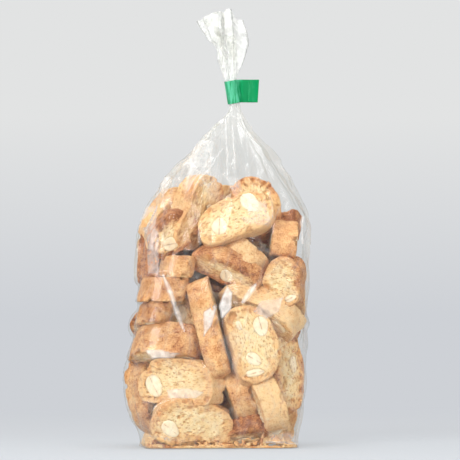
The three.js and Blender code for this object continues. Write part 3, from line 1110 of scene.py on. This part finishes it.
TAPE_THICK = 0.16
TAPE_ROWS = 26
FLAG_GAP = 0.3
FLAG_STEPS, BEND_STEPS, WRAP_STEPS = 34, 7, 58
WRAP_START, WRAP_END = -38, -322
PLEAT_DEPTH, WAVE_DEPTH, GROOVE_DEPTH = 0.22, 0.3, 0.35
GROOVE_X, GROOVE_WIDTH = 8.4, 0.5
TAPE_TILT = 1.1
TAPE_DROP = 0.5
FLAG_SLANT = 0.8


def tape_path():
    """The tape's line seen from above, from the front end of the flag round the neck to
    the back end, about the neck's middle."""
    start = TAPE_RADIUS * 0.9
    flag = np.linspace(FLAG_REACH, start + 1.4, FLAG_STEPS)
    bend = np.linspace(0, 1, BEND_STEPS)[1:-1]
    turn = np.radians(np.linspace(WRAP_START, WRAP_END, WRAP_STEPS))
    ring = np.stack([np.cos(turn), np.sin(turn)], axis=-1) * TAPE_RADIUS
    front = np.stack([flag, np.full(flag.shape, -FLAG_GAP / 2)], axis=-1)
    joint = front[-1] + (ring[0] - front[-1]) * bend[:, None]
    upper = np.concatenate([front, joint, ring])
    lower = joint[::-1] * np.array([1, -1])
    back = front[::-1] * np.array([1, -1])
    return np.concatenate([upper, lower, back])


def make_tape():
    """Two skins and two edges round the tape's path, pleated where it holds the neck."""
    path = tape_path()
    along = np.gradient(path, axis=0)
    along /= np.linalg.norm(along, axis=1, keepdims=True)
    normal = np.stack([along[:, 1], -along[:, 0]], axis=-1)
    angle = np.arctan2(path[:, 1], path[:, 0])
    round_neck = smooth_step(-path[:, 0], -TAPE_RADIUS * 0.9, -TAPE_RADIUS * 0.3)
    out = smooth_step(path[:, 0], TAPE_RADIUS, TAPE_RADIUS + 3)
    outward = np.concatenate([out, out[::-1]])
    columns = 2 * len(path)
    rows = []
    for share in np.linspace(0, 1, TAPE_ROWS):
        z = NECK_Z + TAPE_WIDTH * share
        middle = NECK_X + NECK_LEAN * TAPE_WIDTH * (share * (1 - outward) + 0.5 * outward)
        pleat = PLEAT_DEPTH * np.abs(np.sin(3.5 * angle + 0.8 * share)) * round_neck
        wave = WAVE_DEPTH * np.sin(path[:, 0] * 0.75 + 1.2 * share + 0.5) * out
        groove = thin_line(path[:, 0] - GROOVE_X - 0.6 * share, GROOVE_WIDTH)
        line = path * (1 + pleat / TAPE_RADIUS)[:, None]
        line = line + np.stack([np.zeros(len(path)), wave + GROOVE_DEPTH * groove * out],
                               axis=-1)
        skins = [line + normal * TAPE_THICK / 2, (line - normal * TAPE_THICK / 2)[::-1]]
        x, y = np.concatenate(skins).T
        tilt = -TAPE_TILT * (1 - smooth_step(x, -TAPE_RADIUS, TAPE_RADIUS + 1)) - TAPE_DROP
        x = x - FLAG_SLANT * (1 - share) * smooth_step(x, TAPE_RADIUS, FLAG_REACH)
        ragged = 0.12 * np.sin(y * 9 + x * 1.7) * (share in (0, 1))
        rows.append(np.stack([x + middle, y, z + tilt + ragged], axis=-1))
    points = np.array(rows)
    shut = [(points[k, :len(path)] + points[k, len(path):][::-1]) / 2 for k in (0, -1)]
    caps = [np.concatenate([edge, edge[::-1]]) for edge in shut]
    points = np.concatenate([caps[0][None], points, caps[1][None]]).reshape(-1, 3)
    faces = grid_faces(TAPE_ROWS + 2, columns)
    flag = smooth_step(points[:, 0], NECK_X + TAPE_RADIUS - 1, NECK_X + TAPE_RADIUS + 1)
    return make_object("tape_wrap", points, faces, {"spot": points, "flag": flag})


# Materials

def srgb(red, green, blue):
    """A colour in the renderer's linear values, from 0 to 255 each."""
    return tuple((value / 255 / 12.92) if value < 10 else ((value / 255 + 0.055) / 1.055) ** 2.4
                 for value in (red, green, blue))


CRUMB_PALE = srgb(240, 219, 174)
CRUMB_DEEP = srgb(232, 203, 151)
CRUMB_TOASTED = srgb(224, 168, 104)
CRUST_LIGHT = srgb(240, 207, 156)
CRUST_MID = srgb(217, 165, 111)
CRUST_DARK = srgb(180, 116, 70)
# Darkest crust: burnt patches, and the painted shade of the slices deep in the gaps
CRUST_BURNT_AND_SHADE = srgb(134, 78, 44)
# Painted shade inside pores and chips
PORE_SHADE = srgb(194, 136, 80)
NUT_PALE = srgb(246, 232, 204)
NUT_DEEP = srgb(238, 215, 178)
# Brown almond skin round the rim; also the painted shade along the split
NUT_SKIN_AND_SHADE = srgb(164, 108, 68)
FILM_TINT = srgb(252, 252, 250)
# White of the milky film and of its painted highlights and reflections
FILM_MILK_AND_GLARE = srgb(250, 250, 247)
FILM_SHINE = 0.04
FILM_SHINE_EDGE = 0.4
FILM_ROUGHNESS = 0.27
TAPE_GREEN = srgb(0, 134, 77)
TAPE_LIGHT = srgb(88, 184, 144)


class Paint:
    """A material being put together. Its methods add nodes and give back an output. They
    take numbers, colours and the outputs of other nodes alike."""

    def __init__(self, name):
        self.material = bpy.data.materials.new(name)
        self.material.use_nodes = True
        self.tree = self.material.node_tree
        self.tree.nodes.clear()

    def feed(self, socket, value):
        if isinstance(value, bpy.types.NodeSocket):
            self.tree.links.new(value, socket)
        elif socket.type == "RGBA":
            socket.default_value = (*value, 1)
        else:
            socket.default_value = value

    def node(self, kind, *values, **named):
        """A new node whose inputs are fed in their order, or by name, with underscores
        for spaces."""
        node = self.tree.nodes.new(kind)
        for socket, value in zip(node.inputs, values):
            self.feed(socket, value)
        for key, value in named.items():
            self.feed(node.inputs[key.replace("_", " ")], value)
        return node

    def attribute(self, name, output="Fac"):
        node = self.node("ShaderNodeAttribute")
        node.attribute_name = name
        return node.outputs[output]

    def noise(self, vector, scale, detail=3.0, roughness=0.55):
        node = self.node("ShaderNodeTexNoise", Vector=vector, Scale=scale, Detail=detail,
                         Roughness=roughness)
        return node.outputs["Fac"]

    def stretched(self, vector, scale):
        return self.node("ShaderNodeMapping", vector, Scale=scale).outputs[0]

    def span(self, value, low, high, to_low=0.0, to_high=1.0):
        """A value, with the range from low to high carried over to another range."""
        node = self.node("ShaderNodeMapRange", value, low, high, to_low, to_high)
        return node.outputs["Result"]

    def math(self, operation, first, second, clamp=False):
        node = self.node("ShaderNodeMath", first, second)
        node.operation = operation
        node.use_clamp = clamp
        return node.outputs[0]

    def total(self, first, *others):
        for other in others:
            first = self.math("ADD", first, other)
        return first

    def ramp(self, source, stops):
        """A colour ramp from (place, colour) stops."""
        node = self.node("ShaderNodeValToRGB", source)
        elements = node.color_ramp.elements
        while len(elements) < len(stops):
            elements.new(0.5)
        for element, (place, colour) in zip(elements, stops):
            element.position = place
            element.color = (*colour, 1)
        return node.outputs["Color"]

    def mix(self, factor, first, second):
        """Two colours, mixed."""
        node = self.tree.nodes.new("ShaderNodeMix")
        node.data_type = "RGBA"
        for place, value in ((0, factor), (6, first), (7, second)):
            self.feed(node.inputs[place], value)
        return node.outputs[2]

    def blend(self, factor, first, second):
        """Two shaders, mixed."""
        return self.node("ShaderNodeMixShader", factor, first, second).outputs[0]

    def finish(self, shader):
        self.node("ShaderNodeOutputMaterial", Surface=shader)
        return self.material

    def finish_solid(self, relief, strength, distance, **surface):
        """The material of an opaque piece, with its finest relief."""
        normal = self.node("ShaderNodeBump", Strength=strength, Distance=distance, Height=relief)
        shader = self.node("ShaderNodeBsdfPrincipled", Normal=normal.outputs[0], **surface)
        return self.finish(shader.outputs[0])


def biscuit_material():
    paint = Paint("biscuit")
    spot = paint.attribute("spot", "Vector")
    inset, sunk, bake = (paint.attribute(name) for name in ("inset", "sunk", "bake"))
    broad = paint.noise(spot, 0.09, 2.0)
    patchy = paint.noise(spot, 0.3, 4.0)
    fine = paint.noise(spot, 1.3, 4.0, 0.65)
    grain = paint.noise(spot, 2.4, 2.0, 0.6)
    specks = paint.noise(paint.stretched(spot, (0.5, 1, 1)), 1.15, 2.0, 0.5)

    # The crust, browner where the slice is baked more, in patches and fine specks. On the slices
    # deep in the gaps the darkest browns are painted shade.
    brown = paint.total(bake, paint.span(broad, 0.3, 0.7, -0.2, 0.2),
                        paint.span(patchy, 0.3, 0.7, -0.2, 0.2),
                        paint.span(fine, 0.3, 0.7, -0.25, 0.25),
                        paint.span(specks, 0.58, 0.7, 0, 0.3))
    crust = paint.ramp(brown, [(0.0, CRUST_LIGHT), (0.45, CRUST_MID),
                               (0.85, CRUST_DARK), (1.0, CRUST_BURNT_AND_SHADE)])
    # The crumb, pale in the middle and toasted towards the crust
    crumb = paint.mix(paint.span(patchy, 0.35, 0.65), CRUMB_PALE, CRUMB_DEEP)
    edge = paint.total(inset, paint.span(broad, 0.3, 0.7, 2.0, -2.0),
                       paint.span(patchy, 0.25, 0.75, 1.8, -1.8),
                       paint.span(fine, 0.25, 0.75, 1.0, -1.0),
                       paint.math("MULTIPLY", bake, -2.4))
    crumb = paint.mix(paint.span(edge, 1.0, 6.0, 0.6, 0), crumb, CRUMB_TOASTED)
    crumb = paint.mix(paint.span(grain, 0.52, 0.7, 0, 0.5), crumb, CRUMB_TOASTED)
    speck = paint.total(specks, paint.span(edge, 0, 9, 0.05, -0.01))
    crumb = paint.mix(paint.span(speck, 0.57, 0.64, 0, 0.68), crumb, CRUST_DARK)
    inner = paint.span(edge, -0.5, 1.8)
    colour = paint.mix(inner, crust, crumb)
    # Pores and cracks, darker inside: painted shade, darker the deeper they lie under the slice's
    # skin
    colour = paint.mix(paint.span(sunk, 0.25, 1.1, 0, 0.75), colour, PORE_SHADE)
    relief = paint.total(paint.math("MULTIPLY", grain, 0.6), fine)
    return paint.finish_solid(relief, 0.55, 0.0005, Base_Color=colour, IOR=1.4,
                              Roughness=paint.span(inner, 0, 1, 0.62, 0.86),
                              Specular_IOR_Level=0.3)


def almond_material():
    """Pale flesh with a split down the middle, painted dark as painted shade in its groove, and a
    thin brown skin round the rim.
    """
    paint = Paint("almond")
    spot = paint.attribute("spot", "Vector")
    patchy = paint.noise(spot, 0.35)
    fine = paint.noise(spot, 2.0)
    flesh = paint.mix(paint.span(patchy, 0.35, 0.65), NUT_PALE, NUT_DEEP)
    # Painted shade along the split's groove
    split = paint.math("MULTIPLY", paint.span(paint.attribute("split"), 0.15, 0.5, 1, 0),
                       paint.span(patchy, 0.4, 0.55, 0.1, 0.6))
    flesh = paint.mix(split, flesh, NUT_SKIN_AND_SHADE)
    edge = paint.total(paint.attribute("rim"), paint.span(fine, 0.3, 0.7, -0.3, 0.3))
    skin = paint.math("MULTIPLY", paint.span(edge, 0.1, 0.55, 0.6, 0),
                      paint.span(patchy, 0.42, 0.58))
    return paint.finish_solid(fine, 0.3, 0.0003, Base_Color=paint.mix(skin, flesh, NUT_SKIN_AND_SHADE),
                              IOR=1.45, Roughness=0.55, Specular_IOR_Level=0.4)


def film_material():
    """Clear film that shines most where it is seen edge-on. Where the value stored on the mesh is
    high it turns milky white: the film's own milk towards the neck and in the crown, and painted
    highlights and reflections along creases, on facets and at the marks.
    """
    paint = Paint("film")
    cloud = paint.noise(paint.attribute("spot", "Vector"), 0.3)
    facing = paint.node("ShaderNodeLayerWeight", Blend=0.5).outputs["Facing"]
    shine = paint.span(paint.math("POWER", facing, 3.5), 0, 1, FILM_SHINE, FILM_SHINE_EDGE)
    clear, gloss, diffuse, through = (paint.node(kind, **surface).outputs[0] for kind, surface in (
        ("ShaderNodeBsdfTransparent", {"Color": FILM_TINT}),
        ("ShaderNodeBsdfAnisotropic", {"Roughness": FILM_ROUGHNESS}),
        ("ShaderNodeBsdfDiffuse", {"Color": FILM_MILK_AND_GLARE}),
        ("ShaderNodeBsdfTranslucent", {"Color": FILM_MILK_AND_GLARE})))
    film = paint.blend(shine, clear, gloss)
    # The milky white shader: the film's own milk, and the painted highlights and reflections
    milk_and_glare = paint.blend(shine, paint.blend(0.3, diffuse, through), gloss)
    amount = paint.math("MULTIPLY", paint.attribute("haze_and_glare"),
                        paint.span(cloud, 0.3, 0.7, 0.65, 1.2), clamp=True)
    return paint.finish(paint.blend(amount, film, milk_and_glare))


def tape_material():
    """Green, with paler streaks up the part round the neck."""
    paint = Paint("tape")
    spot = paint.attribute("spot", "Vector")
    streaks = paint.noise(paint.stretched(spot, (1, 1, 0.15)), 0.9)
    light = paint.math("SUBTRACT", paint.span(streaks, 0.35, 0.6),
                       paint.math("MULTIPLY", paint.attribute("flag"), 0.9), clamp=True)
    return paint.finish_solid(streaks, 0.25, 0.0004, IOR=1.5, Roughness=0.38,
                              Base_Color=paint.mix(light, TAPE_GREEN, TAPE_LIGHT),
                              Specular_IOR_Level=0.12)


def finish_piece(piece, material, solid):
    """Gives a piece its material, puts it under the frame's root body, and hides the frame's solid
    that it stands for.
    """
    piece.data.materials.append(material)
    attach(piece, "root")
    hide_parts(solid)


# The stage

BACKDROP_LOW = srgb(206, 209, 214)
BACKDROP_HIGH = srgb(226, 227, 227)
# Painted shade: the floor darker towards the back
FLOOR_TONES = [(0.0, srgb(222, 226, 230)), (0.18, srgb(219, 223, 227)),
               (0.49, srgb(213, 216, 220)), (1.0, BACKDROP_LOW)]
FLOOR_GLOW = 0.55
PAPER_SHARE = 0.65
BACKDROP_Y = 1700
STAGE_REACH = 60000
WALL_REACH = 6000
WALL_HEIGHT = 5000


def stage_object(name, corners, material):
    item = make_object(name, np.array(corners, float), [(0, 1, 2, 3)])
    item.data.materials.append(material)
    return item


def stage_wall(name, start, end, material):
    """An upright wall on the floor, from one corner to the other."""
    return stage_object(name, [(*start, 0), (*end, 0), (*end, WALL_HEIGHT),
                               (*start, WALL_HEIGHT)], material)


def place_along(paint, axis, low, high):
    """From 0 to 1 along one axis, between two places in metres."""
    place = paint.node("ShaderNodeNewGeometry").outputs["Position"]
    parts = paint.node("ShaderNodeSeparateXYZ", place)
    return paint.span(parts.outputs[axis], low, high)


def floor_material():
    """White paper with painted shade that darkens it towards the back. It glows a little,
    painted light, so that the shadow on it is faint. Far from the bag it only glows."""
    paint = Paint("floor")
    depth = place_along(paint, "Y", -0.1, 0.45)
    tone = paint.ramp(depth, FLOOR_TONES)
    paper = paint.node("ShaderNodeBsdfDiffuse",
                       Color=paint.mix(PAPER_SHARE, (0.0, 0.0, 0.0), tone))
    glow = paint.node("ShaderNodeEmission", Color=tone)
    share = paint.span(depth, 0.2, 1, FLOOR_GLOW, 1)
    return paint.finish(paint.blend(share, paper.outputs[0], glow.outputs[0]))


def backdrop_material():
    """Glows instead of being lit, with painted shade that makes it darkest at the floor's far
    edge.
    """
    paint = Paint("backdrop")
    tone = paint.mix(place_along(paint, "Z", 0.035, 0.222), BACKDROP_LOW, BACKDROP_HIGH)
    return paint.finish(paint.node("ShaderNodeEmission", Color=tone).outputs[0])


def make_stage():
    """A wide floor, and a backdrop so far behind that the bag can be seen from every
    side. Walls farther off close the other sides for the camera, and change no light."""
    wide, far = STAGE_REACH, WALL_REACH
    stage_object("floor", [(-wide, -wide, 0), (wide, -wide, 0), (wide, BACKDROP_Y, 0),
                           (-wide, BACKDROP_Y, 0)], floor_material())
    surface = backdrop_material()
    stage_wall("backdrop", (-wide, BACKDROP_Y), (wide, BACKDROP_Y), surface)
    for name, start, end in (("wall left", (-far, -far), (-far, far)),
                             ("wall right", (far, far), (far, -far)),
                             ("wall front", (far, -far), (-far, -far))):
        wall = stage_wall(name, start, end, surface)
        wall.visible_diffuse = False
        wall.visible_glossy = False
        wall.visible_shadow = False


LIGHT_AIM = Vector((0, 0, 90))
SKY_COLOUR = (0.93, 0.95, 1, 1)
SKY_STRENGTH = 0.4


def add_light(name, place, size, power, mirrored=True):
    """A soft rectangular light, aimed at the bag. Places and sizes are in millimetres. One
    that isn't mirrored leaves no glint on the film."""
    light = bpy.data.lights.new(name, "AREA")
    light.shape = "RECTANGLE"
    light.size, light.size_y = size[0] * MM, size[1] * MM
    light.energy = power
    item = bpy.data.objects.new(name, light)
    item.location = Vector(place) * MM
    item.rotation_euler = (Vector(place) - LIGHT_AIM).to_track_quat("Z", "Y").to_euler()
    item.visible_glossy = mirrored
    bpy.context.scene.collection.objects.link(item)


def make_lights():
    add_light("key", (-900, -1300, 750), (900, 900), 24.5)
    add_light("fill", (1000, -1300, 200), (700, 700), 12, mirrored=False)
    add_light("top", (0, -100, 1300), (900, 700), 12, mirrored=False)
    world = bpy.data.worlds.new("studio")
    bpy.context.scene.world = world
    world.use_nodes = True
    sky = world.node_tree.nodes["Background"].inputs
    sky["Color"].default_value = SKY_COLOUR
    sky["Strength"].default_value = SKY_STRENGTH


def make_camera():
    camera = bpy.data.cameras.new("camera")
    camera.angle = 2 * math.atan(VIEW_WIDTH / 2 / VIEW_DISTANCE)
    camera.clip_end = 20
    item = bpy.data.objects.new("camera", camera)
    turn = math.radians(VIEW_TURN)
    aim = Vector(VIEW_AIM)
    place = aim + VIEW_DISTANCE * Vector((math.sin(turn), -math.cos(turn), 0))
    item.location = place * MM
    item.rotation_euler = (math.pi / 2, 0, turn)
    bpy.context.scene.collection.objects.link(item)
    bpy.context.scene.camera = item


scene = bpy.context.scene
scene.view_settings.view_transform = "Standard"
scene.cycles.transparent_max_bounces = 64

slice_places, slice_turns = ease_apart(SLICES)
biscuits, almonds = make_biscuits(slice_places, slice_turns)
baked = biscuit_material()
clear_film = film_material()
finish_piece(almonds, almond_material(), "bag")
for piece in (*biscuits, make_crumbs()):
    finish_piece(piece, baked, "bag")
for piece in (make_film(slice_places, slice_turns), make_crown()):
    finish_piece(piece, clear_film, "bag")
finish_piece(make_tape(), tape_material(), "tape")

make_stage()
make_lights()
make_camera()
